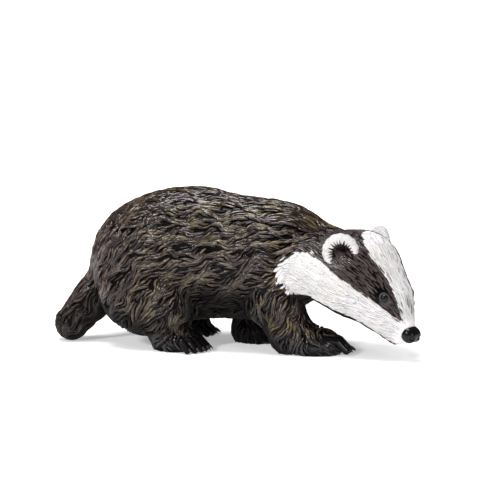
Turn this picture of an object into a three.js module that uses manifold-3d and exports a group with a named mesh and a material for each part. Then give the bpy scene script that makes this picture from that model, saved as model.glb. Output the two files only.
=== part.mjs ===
// A moulded, hand-painted figure of a European badger, walking with its nose held close to the ground.
// Millimetres, +Z up, +X towards the front of the animal, +Y to its left. The figure stands on z = 0.
import * as THREE from 'three';
import { mergeVertices } from 'three/addons/utils/BufferGeometryUtils.js';
import Module from 'manifold-3d';

const wasm = await Module();
wasm.setup();

// Driving dimensions
const PART_GAP = 0.3; // between two parts that meet
const BACK_HEIGHT = 41.3; // top of the arched back above the ground
const BODY_WIDTH = 30.4; // across the rump
const HEAD = { pitch: 32, yaw: -24, roll: 0 }; // degrees: nose down, and turned to the animal's right
const EAR = { length: 4.9, width: 5.0, depth: 2.8, rim: 2.1 };
const EYE_RADIUS = 1.25;
const LID_THICKNESS = 0.42;
const MOUTH_GROOVE = 0.35;
const NOSE = [2.4, 2.7, 2.2]; // half its length, width and height
const LEG_REACH = 1.8; // how far the part of a leg or the tail reaches past its own masses
const TOES = 5;
const TOE = { length: 3.4, width: 1.12, height: 1.4, pitch: 13 }; // half sizes, and its tilt
const TOE_REACH = 2.6; // how far the middle toe stands out of the foot
const CLAW_LENGTH = 1.3;
const CELL = { trunk: 4.0, leg: 2.8, head: 2.6 }; // sizes of the facets
const LOCK = { length: 12.5, halfWidth: 2.0, height: 0.9, sunk: 0.5, wave: 0.8, across: 4.5, along: 10 };
const LOCK_STEPS = 4;
const LOCK_SEED = 12;
const LOCK_TRIES = 9000;

// Turns are yaw to the left, pitch with the nose down and roll about the forward axis, in degrees.
function turned({ yaw = 0, pitch = 0, roll = 0 } = {}) {
  const radians = [roll, pitch, yaw].map(THREE.MathUtils.degToRad);
  return new THREE.Matrix4().makeRotationFromEuler(new THREE.Euler(...radians, 'ZYX'));
}

const skullAt = [30.6, -3.0, 22.6];
const headFrame = turned(HEAD).setPosition(...skullAt);
const fromHead = headFrame.clone().invert();

// A place on the head, given forward, left and up of the middle of the skull.
function onHead(forward, left, up) {
  return new THREE.Vector3(forward, left, up).applyMatrix4(headFrame).toArray();
}

// Masses of the body. Each has a field, a function of x, y and z that is below zero inside the mass,
// and a solid, which can be made larger all round by some extra.
function ovoid(at, size, turn = new THREE.Matrix4()) {
  const e = turn.elements;
  const [a, b, c] = size;
  return {
    field(x, y, z) {
      const dx = x - at[0];
      const dy = y - at[1];
      const dz = z - at[2];
      const u = (e[0] * dx + e[1] * dy + e[2] * dz) / a;
      const v = (e[4] * dx + e[5] * dy + e[6] * dz) / b;
      const w = (e[8] * dx + e[9] * dy + e[10] * dz) / c;
      const near = Math.hypot(u, v, w) + 1e-9;
      return (near * (near - 1)) / (Math.hypot(u / a, v / b, w / c) + 1e-9);
    },
    solid(extra = 0, around = 10, rings = 6) {
      const place = new THREE.Matrix4().makeScale(a + extra, b + extra, c + extra).premultiply(turn);
      return solidOf(new THREE.SphereGeometry(1, around, rings), place.setPosition(...at));
    },
  };
}

function limb(from, to, fromRadius, toRadius) {
  const start = new THREE.Vector3(...from);
  const axis = new THREE.Vector3(...to).sub(start);
  const length = axis.length();
  const [ex, ey, ez] = axis.clone().normalize().toArray();
  const slope = (fromRadius - toRadius) / length;
  const flank = Math.sqrt(1 - slope * slope);
  return {
    // The cone that two balls share, with the balls at its ends
    field(x, y, z) {
      const dx = x - from[0];
      const dy = y - from[1];
      const dz = z - from[2];
      const along = dx * ex + dy * ey + dz * ez;
      const off = Math.sqrt(Math.max(dx * dx + dy * dy + dz * dz - along * along, 0));
      const foot = along - (off * slope) / flank;
      if (foot < 0) return Math.hypot(off, along) - fromRadius;
      if (foot > length) return Math.hypot(off, along - length) - toRadius;
      return off * flank + along * slope - fromRadius;
    },
    solid(extra = 0, around = 10) {
      const half = new THREE.Path();
      half.absarc(0, 0, fromRadius + extra, -Math.PI / 2, 0);
      half.absarc(0, length, toRadius + extra, 0, Math.PI / 2);
      const profile = half.getPoints(2);
      profile[0].x = 0;
      profile[profile.length - 1].x = 0;
      const turn = new THREE.Quaternion();
      turn.setFromUnitVectors(new THREE.Vector3(0, 1, 0), axis.clone().normalize());
      const place = new THREE.Matrix4().makeRotationFromQuaternion(turn).setPosition(start);
      return solidOf(new THREE.LatheGeometry(profile, around), place);
    },
  };
}

// Joins fields with a soft fillet of the given width.
function blend(width, ...fields) {
  return (x, y, z) => {
    let joined = fields[0](x, y, z);
    for (let i = 1; i < fields.length; i += 1) {
      const next = fields[i](x, y, z);
      const overlap = Math.max(width - Math.abs(joined - next), 0) / width;
      joined = Math.min(joined, next) - overlap * overlap * width * 0.25;
    }
    return joined;
  };
}

// Trunk and neck
const halfBody = BODY_WIDTH / 2;
const rump = ovoid([-22.5, 0, 22.0], [17.6, halfBody, 16.4], turned({ pitch: -16 }));
const backArch = ovoid([-11, 0, BACK_HEIGHT - 14.1], [16, 12, 13.8], turned({ pitch: 3 }));
const belly = ovoid([-4, 0, 22.6], [19, halfBody - 1.6, 14.4]);
const chest = ovoid([8.2, -0.5, 22.5], [12.6, halfBody - 2.6, 13.0]);
const withers = ovoid([9, -0.5, 26.6], [14, 9.8, 10.6], turned({ pitch: 8 }));
const torsoField = blend(7, ...[rump, backArch, belly, chest, withers].map((mass) => mass.field));

const nape = [skullAt[0] - 5.0, skullAt[1] + 0.6, skullAt[2] + 0.4];
const neckField = blend(5, ...[-3.5, 3.5].map((side) => (
  limb([14, side - 0.3, 25.2], [nape[0], nape[1] + side, nape[2]], 8.9, 7.5).field)));

// Head
const headTurn = turned(HEAD);
const cheeks = [-7.2, 7.2].map((left) => ovoid(onHead(-3.0, left, -2.0), [9.5, 6.2, 6.4], headTurn));
const skull = ovoid(onHead(-0.6, 0, -1.0), [10.6, 11.0, 8.3], headTurn);
const face = limb(onHead(3.6, 0, 0.9), onHead(14.2, 0, 1.0), 11.6, 6.9);
const snout = limb(onHead(14.0, 0, 0.0), onHead(22.6, 0, -1.5), 5.9, 3.2);
const jaw = limb(onHead(3, 0, -4.2), onHead(22.2, 0, -4.8), 4.6, 2.5);
const headField = blend(3.5, ...[skull, ...cheeks, face, snout, jaw].map((mass) => mass.field));

// Tail, held low
const tailRoot = [-34, -0.5, 18.5];
const tailBend = [-39.8, -2.5, 11.3];
const tailTip = [-45.2, -5.0, 4.7];
const tailMasses = [limb(tailRoot, tailBend, 5.6, 4.4), limb(tailBend, tailTip, 4.4, 3.8)];
const tailField = blend(2, ...tailMasses.map((mass) => mass.field));

// Legs. The right fore foot reaches forward, and the left one stands under the chest.
const legs = {
  hind_right: {
    masses: [
      ovoid([-22.6, -10.0, 14.2], [12.9, 6.8, 10.3], turned({ pitch: 8 })),
      limb([-16.2, -11, 10], [-16.6, -11.5, 3.6], 5.0, 4.0),
    ],
    foot: { at: [-13.5, -11.2, 1.9], half: [5.6, 4.9, 3.2], yaw: -24 },
    side: -1,
  },
  hind_left: {
    masses: [
      ovoid([-21.5, 9.8, 14.2], [12.4, 6.6, 10.3], turned({ pitch: 4 })),
      limb([-18.5, 10.5, 9], [-18.5, 11.0, 3.0], 4.8, 4.0),
    ],
    foot: { at: [-17.8, 11.0, 1.9], half: [5.7, 4.7, 3.1], yaw: 8 },
    side: 1,
  },
  fore_right: {
    masses: [
      ovoid([11, -7.5, 19], [8.5, 6.0, 10], turned({ pitch: 10 })),
      limb([12, -8, 13], [16.4, -8.0, 5.8], 6.4, 4.7),
      limb([16.0, -7.8, 4.2], [22.5, -7.6, 3.2], 4.3, 3.4),
    ],
    foot: { at: [24.1, -7.3, 1.9], half: [5.9, 4.7, 4.0], yaw: 24 },
    side: -1,
  },
  fore_left: {
    masses: [
      ovoid([8, 7, 19], [8.5, 6.0, 10], turned({ pitch: -5 })),
      limb([4.6, 6.5, 13], [2.0, 5.5, 5.0], 5.8, 4.7),
    ],
    foot: { at: [4.0, 5.3, 1.9], half: [6.4, 4.4, 3.0], yaw: -4 },
    side: 1,
  },
};
for (const leg of Object.values(legs)) {
  leg.footField = ovoid(leg.foot.at, leg.foot.half, turned({ yaw: leg.foot.yaw })).field;
  leg.field = blend(3, ...leg.masses.map((mass) => mass.field), leg.footField);
}

const trunkField = blend(3, blend(6, torsoField, neckField), headField);
const skinField = blend(1.6, trunkField, ...Object.values(legs).map((leg) => leg.field), tailField);
const coreField = (x, y, z) => Math.max(skinField(x, y, z), -z);

function slopeOf(field, x, y, z, step = 0.05) {
  return new THREE.Vector3(
    field(x + step, y, z) - field(x - step, y, z),
    field(x, y + step, z) - field(x, y - step, z),
    field(x, y, z + step) - field(x, y, z - step),
  ).divideScalar(2 * step);
}

// Moves a point onto the surface of a field.
function settle(field, point, rounds = 2) {
  for (let i = 0; i < rounds; i += 1) {
    const slope = slopeOf(field, point.x, point.y, point.z);
    point.addScaledVector(slope, -field(point.x, point.y, point.z) / Math.max(slope.lengthSq(), 0.05));
  }
  return point;
}

// Solids that can be joined and cut
function solidFrom(coordinates, triangles) {
  return new wasm.Manifold(new wasm.Mesh({
    numProp: 3,
    vertProperties: new Float32Array(coordinates),
    triVerts: new Uint32Array(triangles),
  }));
}

function solidOf(geometry, matrix = new THREE.Matrix4()) {
  const bare = geometry.clone().applyMatrix4(matrix);
  bare.deleteAttribute('normal');
  bare.deleteAttribute('uv');
  const merged = mergeVertices(bare, 1e-4);
  return solidFrom(merged.attributes.position.array, merged.index.array);
}

function joined(...solids) {
  return wasm.Manifold.union(solids);
}

function largest(solid) {
  return solid.decompose().sort((a, b) => b.volume() - a.volume())[0];
}

// Closed mesh of a field: one vertex in each grid cell that the surface crosses, moved onto the surface,
// and one square across each grid edge that the surface crosses.
const CORNERS = [0, 1, 2, 3, 4, 5, 6, 7].map((bits) => [bits & 1, (bits >> 1) & 1, bits >> 2]);

// Where the corners of a grid square are in, out, in and out, the surface would pinch itself, so the
// corner that lies nearest the surface goes over to the other side.
function unpinch(level, steps) {
  let mended = true;
  while (mended) {
    mended = false;
    for (let at = 0; at + steps[1] + steps[2] < level.length; at += 1) {
      for (const [a, b] of [[0, 1], [1, 2], [2, 0]]) {
        const square = [at, at + steps[a], at + steps[a] + steps[b], at + steps[b]];
        const [w, x, y, z] = square.map((corner) => level[corner] < 0);
        if (w !== y || x !== z || w === x) continue;
        square.sort((p, q) => Math.abs(level[p]) - Math.abs(level[q]));
        level[square[0]] *= -1;
        mended = true;
      }
    }
  }
}

function solidOfField(field, low, high, cell) {
  const count = low.map((value, axis) => Math.ceil((high[axis] - value) / cell) + 3);
  const slot = (i, j, k) => i + count[0] * (j + count[1] * k);
  const place = (i, axis) => low[axis] + (i - 1) * cell;
  const level = new Float64Array(count[0] * count[1] * count[2]);
  for (let k = 0; k < count[2]; k += 1) {
    for (let j = 0; j < count[1]; j += 1) {
      for (let i = 0; i < count[0]; i += 1) {
        const onRim = [i, j, k].some((value, axis) => value === 0 || value === count[axis] - 1);
        level[slot(i, j, k)] = onRim ? cell : field(place(i, 0), place(j, 1), place(k, 2));
      }
    }
  }
  unpinch(level, [1, count[0], count[0] * count[1]]);
  const coordinates = [];
  const triangles = [];
  const known = new Map();
  const vertexAt = (i, j, k) => {
    const key = slot(i, j, k);
    if (!known.has(key)) {
      const middle = new THREE.Vector3();
      let crossings = 0;
      CORNERS.forEach((start, a) => {
        for (const bit of [1, 2, 4].filter((value) => !(a & value))) {
          const end = CORNERS[a | bit];
          const from = level[slot(i + start[0], j + start[1], k + start[2])];
          const to = level[slot(i + end[0], j + end[1], k + end[2])];
          if ((from < 0) !== (to < 0)) {
            const t = from / (from - to);
            middle.x += place(i + start[0] + t * (end[0] - start[0]), 0);
            middle.y += place(j + start[1] + t * (end[1] - start[1]), 1);
            middle.z += place(k + start[2] + t * (end[2] - start[2]), 2);
            crossings += 1;
          }
        }
      });
      settle(field, middle.divideScalar(crossings));
      known.set(key, coordinates.length / 3);
      coordinates.push(...middle.toArray());
    }
    return known.get(key);
  };
  const addSquare = (a, b, c, d, inside) => {
    if (inside) triangles.push(a, b, c, a, c, d);
    else triangles.push(a, c, b, a, d, c);
  };
  for (let k = 1; k < count[2] - 1; k += 1) {
    for (let j = 1; j < count[1] - 1; j += 1) {
      for (let i = 1; i < count[0] - 1; i += 1) {
        const inside = level[slot(i, j, k)] < 0;
        const around = [
          [level[slot(i + 1, j, k)], [i, j - 1, k - 1], [i, j, k - 1], [i, j, k], [i, j - 1, k]],
          [level[slot(i, j + 1, k)], [i - 1, j, k - 1], [i - 1, j, k], [i, j, k], [i, j, k - 1]],
          [level[slot(i, j, k + 1)], [i - 1, j - 1, k], [i, j - 1, k], [i, j, k], [i - 1, j, k]],
        ];
        for (const [next, ...cells] of around) {
          if (inside !== next < 0) addSquare(...cells.map((cellAt) => vertexAt(...cellAt)), inside);
        }
      }
    }
  }
  return solidFrom(coordinates, triangles);
}

// The lie of the coat: back along the body, down over the rump and legs, and out along the tail.
function rise(from, to, value) {
  return THREE.MathUtils.smoothstep(value, from, to);
}

const tailWay = new THREE.Vector3(...tailTip).sub(new THREE.Vector3(...tailRoot)).normalize();

function lieAt(x, y, z) {
  const way = new THREE.Vector3(-1, 0, -0.2 - 1.4 * rise(18, 36, -x));
  const onHind = 1 - rise(-1, 3, Math.min(legs.hind_right.field(x, y, z), legs.hind_left.field(x, y, z)));
  const onFore = 1 - rise(-1, 3, Math.min(legs.fore_right.field(x, y, z), legs.fore_left.field(x, y, z)));
  way.lerp(new THREE.Vector3(-0.55, 0, -0.85), onHind * (1 - rise(18, 26, z)));
  way.lerp(new THREE.Vector3(-0.15, 0, -1), onFore * (1 - rise(14, 24, z)));
  way.lerp(tailWay, 1 - rise(-1, 3, tailField(x, y, z)));
  return way;
}

// How much coat there is, from none on the face and feet to all over the body.
function coatAt(x, y, z) {
  const forward = new THREE.Vector3(x, y, z).applyMatrix4(fromHead).x;
  const behindCheeks = rise(5, 9, -forward);
  const aboveFeet = Math.min(...Object.values(legs).map((leg) => rise(0.5, 2.2, leg.footField(x, y, z))));
  return behindCheeks * aboveFeet;
}

// A fixed sequence of numbers from 0 to 1
function dice(seed) {
  let state = seed;
  return () => {
    state = (Math.imul(state, 1664525) + 1013904223) >>> 0;
    return state / 4294967296;
  };
}

// One lock of the moulded coat: a flat wavy ridge that tapers at both ends, with its root sunk.
// A lock that would fold over a sharp hollow is left out.
function lockFrom(root, size, phase) {
  const at = root.clone();
  const rings = [];
  let lastOut = null;
  for (let i = 0; i <= LOCK_STEPS; i += 1) {
    const t = i / LOCK_STEPS;
    settle(coreField, at);
    const out = slopeOf(coreField, at.x, at.y, at.z).normalize();
    const along = lieAt(at.x, at.y, at.z);
    along.addScaledVector(out, -along.dot(out));
    if (along.length() < 0.35 || (lastOut && lastOut.dot(out) < 0.55)) return null;
    lastOut = out;
    along.normalize();
    const across = new THREE.Vector3().crossVectors(out, along);
    const swing = LOCK.wave * size * Math.sin(phase + t * Math.PI * 2);
    const half = LOCK.halfWidth * size * Math.sin(Math.PI * (0.06 + 0.9 * t ** 0.85));
    const height = LOCK.height * size * Math.sin(Math.PI * (0.1 + 0.8 * t));
    const middle = at.clone().addScaledVector(across, swing);
    const left = middle.clone().addScaledVector(across, -half).addScaledVector(out, -LOCK.sunk);
    const right = middle.clone().addScaledVector(across, half).addScaledVector(out, -LOCK.sunk);
    const crest = middle.clone().addScaledVector(out, height);
    const atEnd = i === 0 || i === LOCK_STEPS;
    rings.push(atEnd ? [middle.addScaledVector(out, -LOCK.sunk / 2)] : [left, right, crest]);
    at.addScaledVector(along, (LOCK.length * size) / LOCK_STEPS);
  }
  const coordinates = rings.flat().flatMap((point) => point.toArray());
  const first = (ring) => 1 + 3 * (ring - 1);
  const tip = coordinates.length / 3 - 1;
  const triangles = [];
  for (let side = 0; side < 3; side += 1) {
    const next = (side + 1) % 3;
    triangles.push(0, first(1) + next, first(1) + side);
    triangles.push(tip, first(LOCK_STEPS - 1) + side, first(LOCK_STEPS - 1) + next);
    for (let ring = 1; ring < LOCK_STEPS - 1; ring += 1) {
      const [a, b] = [first(ring) + side, first(ring) + next];
      triangles.push(a, b, b + 3, a, b + 3, a + 3);
    }
  }
  return solidFrom(coordinates, triangles);
}

// Roots are drawn over the body's surface, none closer to another than a lock's spacing.
function coatLocks(core) {
  const { vertProperties, triVerts } = core.getMesh();
  const corner = (i) => new THREE.Vector3().fromArray(vertProperties, 3 * triVerts[i]);
  const draw = dice(LOCK_SEED);
  const faces = [];
  for (let i = 0; i < triVerts.length; i += 3) {
    faces.push(new THREE.Triangle(corner(i), corner(i + 1), corner(i + 2)));
  }
  const reach = [];
  let total = 0;
  for (const triangle of faces) {
    total += triangle.getArea();
    reach.push(total);
  }
  const roots = [];
  const locks = [];
  for (let tries = 0; tries < LOCK_TRIES; tries += 1) {
    const target = draw() * total;
    const triangle = faces[reach.findIndex((value) => value >= target)];
    const [u, v] = [draw(), draw()];
    const flip = u + v > 1;
    const point = triangle.a.clone()
      .addScaledVector(triangle.b.clone().sub(triangle.a), flip ? 1 - u : u)
      .addScaledVector(triangle.c.clone().sub(triangle.a), flip ? 1 - v : v);
    const lie = lieAt(point.x, point.y, point.z).normalize();
    const under = point.z < 9 ? 1.6 : 1;
    const crowded = roots.some((other) => {
      const apart = point.clone().sub(other);
      const along = apart.dot(lie);
      const across = Math.sqrt(Math.max(apart.lengthSq() - along * along, 0));
      return Math.hypot(along / (LOCK.along * under), across / (LOCK.across * under)) < 1;
    });
    if (crowded || coatAt(point.x, point.y, point.z) < 0.6) continue;
    const lock = lockFrom(point, 0.85 + 0.3 * draw(), draw() * Math.PI * 2);
    if (!lock) continue;
    roots.push(point);
    locks.push(lock);
  }
  return locks;
}

// Feet: toes side by side at the front of each foot, each with a short blunt claw
function toesOf({ at, half, yaw }) {
  const frame = turned({ yaw }).setPosition(at[0], at[1], 0);
  const pieces = [];
  const toe = new THREE.SphereGeometry(1, 6, 4);
  const claw = new THREE.ConeGeometry(0.5, CLAW_LENGTH, 4);
  for (let i = 0; i < TOES; i += 1) {
    const side = i / (TOES - 1) - 0.5;
    const left = side * (half[1] * 2 - 1.4);
    const tip = half[0] * Math.sqrt(1 - (left / (half[1] * 1.35)) ** 2) + TOE_REACH;
    const shape = new THREE.Matrix4().makeScale(TOE.length, TOE.width, TOE.height);
    shape.premultiply(turned({ pitch: TOE.pitch }));
    shape.setPosition(tip - TOE.length, left, (TOE.height + 0.5) * half[2] / 3.2);
    pieces.push(solidOf(toe, shape.premultiply(frame)));
    const clawPlace = new THREE.Matrix4().makeRotationZ(-Math.PI / 2);
    clawPlace.premultiply(new THREE.Matrix4().makeRotationY(THREE.MathUtils.degToRad(12)));
    clawPlace.setPosition(tip + CLAW_LENGTH * 0.2, left, TOE.height * 0.8);
    pieces.push(solidOf(claw, clawPlace.premultiply(frame)));
  }
  return pieces;
}

// Ears: round cups with a thick rolled rim, open forwards
function earOf(side, [forward, left, up]) {
  const out = new THREE.Vector3(0.4, side * 0.86, 0.32).normalize();
  const way = new THREE.Vector3(0.87, 0, -0.49);
  way.addScaledVector(out, -way.dot(out)).normalize();
  const frame = new THREE.Matrix4().makeBasis(way, new THREE.Vector3().crossVectors(out, way), out);
  frame.premultiply(headTurn);
  const at = onHead(forward, left, up);
  const dish = new THREE.Vector3(EAR.rim - 0.1, 0, 2.0).applyMatrix4(frame);
  const dishAt = at.map((value, i) => value + dish.getComponent(i));
  const hollow = ovoid(dishAt, [EAR.length - 0.3, EAR.width - EAR.rim, EAR.depth - 0.2], frame);
  const flap = ovoid(at, [EAR.length, EAR.width, EAR.depth], frame);
  return {
    ear: largest(flap.solid(0, 16, 9).subtract(hollow.solid(0, 14, 8))),
    socket: flap.solid(PART_GAP),
  };
}

// Eyes: glossy balls, each in a ring of lid
function eyeOf(side) {
  const at = settle(headField, new THREE.Vector3(...onHead(17.2, side * 6.2, 4.4)));
  const out = slopeOf(headField, at.x, at.y, at.z).normalize();
  const frame = new THREE.Matrix4().makeRotationFromQuaternion(
    new THREE.Quaternion().setFromUnitVectors(new THREE.Vector3(0, 0, 1), out),
  );
  frame.setPosition(at.clone().addScaledVector(out, -EYE_RADIUS * 0.45));
  const ball = (radius) => solidOf(new THREE.SphereGeometry(radius, 9, 6), frame);
  const lidRadius = EYE_RADIUS + PART_GAP + LID_THICKNESS * 0.4;
  const lid = new THREE.TorusGeometry(lidRadius, LID_THICKNESS, 4, 10).rotateZ(0.35);
  const lidFrame = frame.clone().setPosition(at.clone().addScaledVector(out, -0.05));
  return { eye: ball(EYE_RADIUS), socket: ball(EYE_RADIUS + PART_GAP), lid: solidOf(lid, lidFrame) };
}

// Nose: a rounded pad with two nostrils
function noseOf([forward, left, up]) {
  const pad = ovoid(onHead(forward, left, up), NOSE, headTurn);
  const nostrils = [-1, 1].map((side) => (
    ovoid(onHead(forward + NOSE[0] - 0.3, side * 1.05, up + 0.1), [0.9, 0.5, 0.6], headTurn).solid(0, 6, 4)));
  return { pad: pad.solid(0, 12, 8).subtract(joined(...nostrils)), socket: pad.solid(PART_GAP, 12, 8) };
}

// Mouth: a groove from under the nose back along each side of the jaw
function mouthOf(side) {
  const line = [[23.6, 0.4, -2.6], [20, 3.0, -3.9], [15.5, 5.2, -4.7], [10.5, 7.4, -5.2]].map(([x, y, z]) => (
    settle(headField, new THREE.Vector3(...onHead(x, side * y, z)))));
  const section = new THREE.Shape().absarc(0, 0, MOUTH_GROOVE, 0, Math.PI * 2);
  const path = new THREE.CatmullRomCurve3(line);
  return solidOf(new THREE.ExtrudeGeometry(section, { steps: 8, curveSegments: 2, extrudePath: path }));
}

// The whole animal, in one piece. Where a part is small it is meshed again with finer facets.
const bodyLow = [-52, -20, -3];
const bodyHigh = [56, 20, 44];
const core = solidOfField(coreField, bodyLow, bodyHigh, CELL.trunk);
const locks = coatLocks(core);
const toes = Object.values(legs).flatMap((leg) => toesOf(leg.foot));
const ears = { right: earOf(-1, [0.5, -8.4, 7.2]), left: earOf(1, [-0.1, 8.6, 6.3]) };
const eyes = { right: eyeOf(-1), left: eyeOf(1) };
const nose = noseOf([25.7, 0, -2.0]);
const ground = solidOf(new THREE.BoxGeometry(200, 100, 20), new THREE.Matrix4().makeTranslation(0, 0, -10));
const whole = joined(core, ...locks).subtract(ground);
const legCore = solidOfField(coreField, bodyLow, bodyHigh, CELL.leg);
const fineLegs = joined(legCore, ...locks, ...toes).subtract(ground);
const headCore = solidOfField(coreField, bodyLow, bodyHigh, CELL.head);
const fineHead = joined(headCore, eyes.right.lid, eyes.left.lid);

// Its named parts, with a cut as wide as the gap between each and what it grows from
const solids = {};
const taken = [];

function partOff(name, source, insideOf) {
  solids[name] = largest(source.intersect(insideOf(0)).subtract(joined(...taken)));
  taken.push(insideOf(PART_GAP));
}

// Everything in front of a plane, which moves back as it grows
function inFront(point, way) {
  const size = 200;
  const facing = new THREE.Quaternion();
  facing.setFromUnitVectors(new THREE.Vector3(1, 0, 0), new THREE.Vector3(...way).normalize());
  const turn = new THREE.Matrix4().makeRotationFromQuaternion(facing);
  return (extra) => solidOf(
    new THREE.BoxGeometry(size, size, size).translate(size / 2 - extra, 0, 0),
    turn.clone().setPosition(...point),
  );
}

for (const [name, leg] of Object.entries(legs)) {
  const { at, half, yaw } = leg.foot;
  const foot = ovoid([at[0], at[1], 0], [half[0] + 1.6, half[1], half[2] + 1], turned({ yaw }));
  const outward = inFront([0, leg.side, 0], [0, leg.side, 0]);
  partOff(`leg_${name}`, fineLegs, (extra) => (
    joined(...[...leg.masses, foot].map((mass) => mass.solid(LEG_REACH + extra))).intersect(outward(extra))));
}
const behindRump = inFront([-31.5, 0, 0], [-1, 0, 0]);
partOff('tail', fineLegs, (extra) => (
  joined(...tailMasses.map((mass) => mass.solid(LEG_REACH + extra))).intersect(behindRump(extra))));
partOff('head', fineHead, inFront(onHead(-7.0, 0, 0), [0.92, -0.36, -0.15]));
partOff('neck', whole, inFront([15.5, 0, 24], [0.95, -0.15, -0.1]));
solids.torso = largest(whole.subtract(joined(...taken)));

const headCuts = [ears.right.socket, ears.left.socket, eyes.right.socket, eyes.left.socket, nose.socket];
solids.head = largest(solids.head.subtract(joined(...headCuts, mouthOf(-1), mouthOf(1))));
solids.neck = largest(solids.neck.subtract(joined(ears.right.socket, ears.left.socket)));
solids.ear_right = ears.right.ear;
solids.ear_left = ears.left.ear;
solids.eye_right = eyes.right.eye;
solids.eye_left = eyes.left.eye;
solids.nose = nose.pad;

// Paint: satin brown-black on the coat, white on the head, and gloss black on the nose and eyes
const paints = {
  coat: { color: 0x3a302b, roughness: 0.5, metalness: 0 },
  white: { color: 0xf1efec, roughness: 0.45, metalness: 0 },
  gloss: { color: 0x0b0a0a, roughness: 0.15, metalness: 0 },
};

function paintOf(name) {
  if (name === 'head' || name.startsWith('ear')) return paints.white;
  if (name === 'nose' || name.startsWith('eye')) return paints.gloss;
  return paints.coat;
}

function meshFrom(solid, name) {
  const { vertProperties, triVerts } = solid.getMesh();
  const geometry = new THREE.BufferGeometry();
  geometry.setAttribute('position', new THREE.BufferAttribute(vertProperties, 3));
  geometry.setIndex(new THREE.BufferAttribute(triVerts, 1));
  const mesh = new THREE.Mesh(geometry, new THREE.MeshStandardMaterial(paintOf(name)));
  mesh.name = name;
  return mesh;
}

// The group's origin is on the ground, under the middle of the animal.
const badger = new THREE.Group();
for (const [name, solid] of Object.entries(solids)) badger.add(meshFrom(solid, name));
const middle = new THREE.Box3().setFromObject(badger).getCenter(new THREE.Vector3());
badger.position.set(-middle.x, -middle.y, 0);

export default badger;
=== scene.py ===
# A moulded and hand-painted figure of a European badger, walking with its nose held low.
# Shapes are worked out in millimetres in the figure's own frame, x to the front, y to its left and z up,
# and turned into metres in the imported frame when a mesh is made.
import math

import bpy
import numpy as np
from mathutils import Matrix, Vector


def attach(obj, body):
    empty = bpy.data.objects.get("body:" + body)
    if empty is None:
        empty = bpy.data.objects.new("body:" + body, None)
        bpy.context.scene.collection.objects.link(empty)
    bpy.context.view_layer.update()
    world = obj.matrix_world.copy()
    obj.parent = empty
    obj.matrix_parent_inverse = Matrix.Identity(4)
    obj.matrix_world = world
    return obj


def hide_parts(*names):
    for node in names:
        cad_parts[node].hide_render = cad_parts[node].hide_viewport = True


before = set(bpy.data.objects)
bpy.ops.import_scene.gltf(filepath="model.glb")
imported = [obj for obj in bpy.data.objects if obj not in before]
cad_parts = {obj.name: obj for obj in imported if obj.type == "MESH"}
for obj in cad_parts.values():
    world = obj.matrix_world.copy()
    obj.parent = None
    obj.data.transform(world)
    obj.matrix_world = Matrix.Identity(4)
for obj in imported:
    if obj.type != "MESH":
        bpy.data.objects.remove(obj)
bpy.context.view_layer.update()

figureMiddle = np.array([1.5363, -0.4073, 0.0])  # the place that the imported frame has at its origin
toMetres = 0.001
justOffFloor = 0.02  # the lowest place of a lock or a claw, in millimetres


def toFrame(points):
    return (points - figureMiddle) * toMetres


def fromFrame(places):
    return places / toMetres + figureMiddle


def turned(yaw=0.0, pitch=0.0, roll=0.0):
    # columns are the turned forward, left and up; pitch is nose down and yaw is to the left, in degrees
    cy, sy = math.cos(math.radians(yaw)), math.sin(math.radians(yaw))
    cp, sp = math.cos(math.radians(pitch)), math.sin(math.radians(pitch))
    cr, sr = math.cos(math.radians(roll)), math.sin(math.radians(roll))
    aboutZ = np.array([[cy, -sy, 0], [sy, cy, 0], [0, 0, 1]])
    aboutY = np.array([[cp, 0, sp], [0, 1, 0], [-sp, 0, cp]])
    aboutX = np.array([[1, 0, 0], [0, cr, -sr], [0, sr, cr]])
    return aboutZ @ aboutY @ aboutX


def unit(vectors):
    return vectors / np.maximum(np.linalg.norm(vectors, axis=-1, keepdims=True), 1e-9)


def ease(low, high, value):
    # 0 below low and 1 above high, with a soft start and end
    t = np.clip((value - low) / (high - low), 0, 1)
    return t * t * (3 - 2 * t)


# Masses: each is a function of points that is about their distance outside it, in millimetres

def ovoid(at, half, turn=np.eye(3)):
    at, half = np.array(at, float), np.array(half, float)

    def distance(points):
        local = (points - at) @ turn
        near = np.sqrt(((local / half) ** 2).sum(1)) + 1e-9
        return near * (near - 1) / (np.sqrt(((local / half ** 2) ** 2).sum(1)) + 1e-9)
    return distance


def limb(start, end, startRadius, endRadius):
    start, end = np.array(start, float), np.array(end, float)
    length = np.linalg.norm(end - start)
    axis = (end - start) / length
    slope = (startRadius - endRadius) / length
    flank = math.sqrt(1 - slope * slope)

    def distance(points):
        local = points - start
        along = local @ axis
        off = np.sqrt(np.maximum((local ** 2).sum(1) - along ** 2, 0))
        foot = along - off * slope / flank
        side = off * flank + along * slope - startRadius
        below = np.hypot(off, along) - startRadius
        above = np.hypot(off, along - length) - endRadius
        return np.where(foot < 0, below, np.where(foot > length, above, side))
    return distance


def blend(width, *masses):
    def distance(points):
        joined = masses[0](points)
        for mass in masses[1:]:
            other = mass(points)
            overlap = np.maximum(width - np.abs(joined - other), 0) / width
            joined = np.minimum(joined, other) - overlap ** 2 * width * 0.25
        return joined
    return distance


def carve(width, mass, cutter):
    # mass with the cutter taken away, over a soft edge
    cut = blend(width, lambda points: -mass(points), cutter)
    return lambda points: -cut(points)


def closeBy(middle, reach, mass):
    # the mass, worked out only within reach of its middle, and far away beyond that
    middle = np.array(middle, float)

    def distance(points):
        gap = np.abs(points - middle).max(1)
        value = np.maximum(gap - reach * 0.5, reach * 0.4)
        inside = gap < reach
        if inside.any():
            value[inside] = mass(points[inside])
        return value
    return distance


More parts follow.
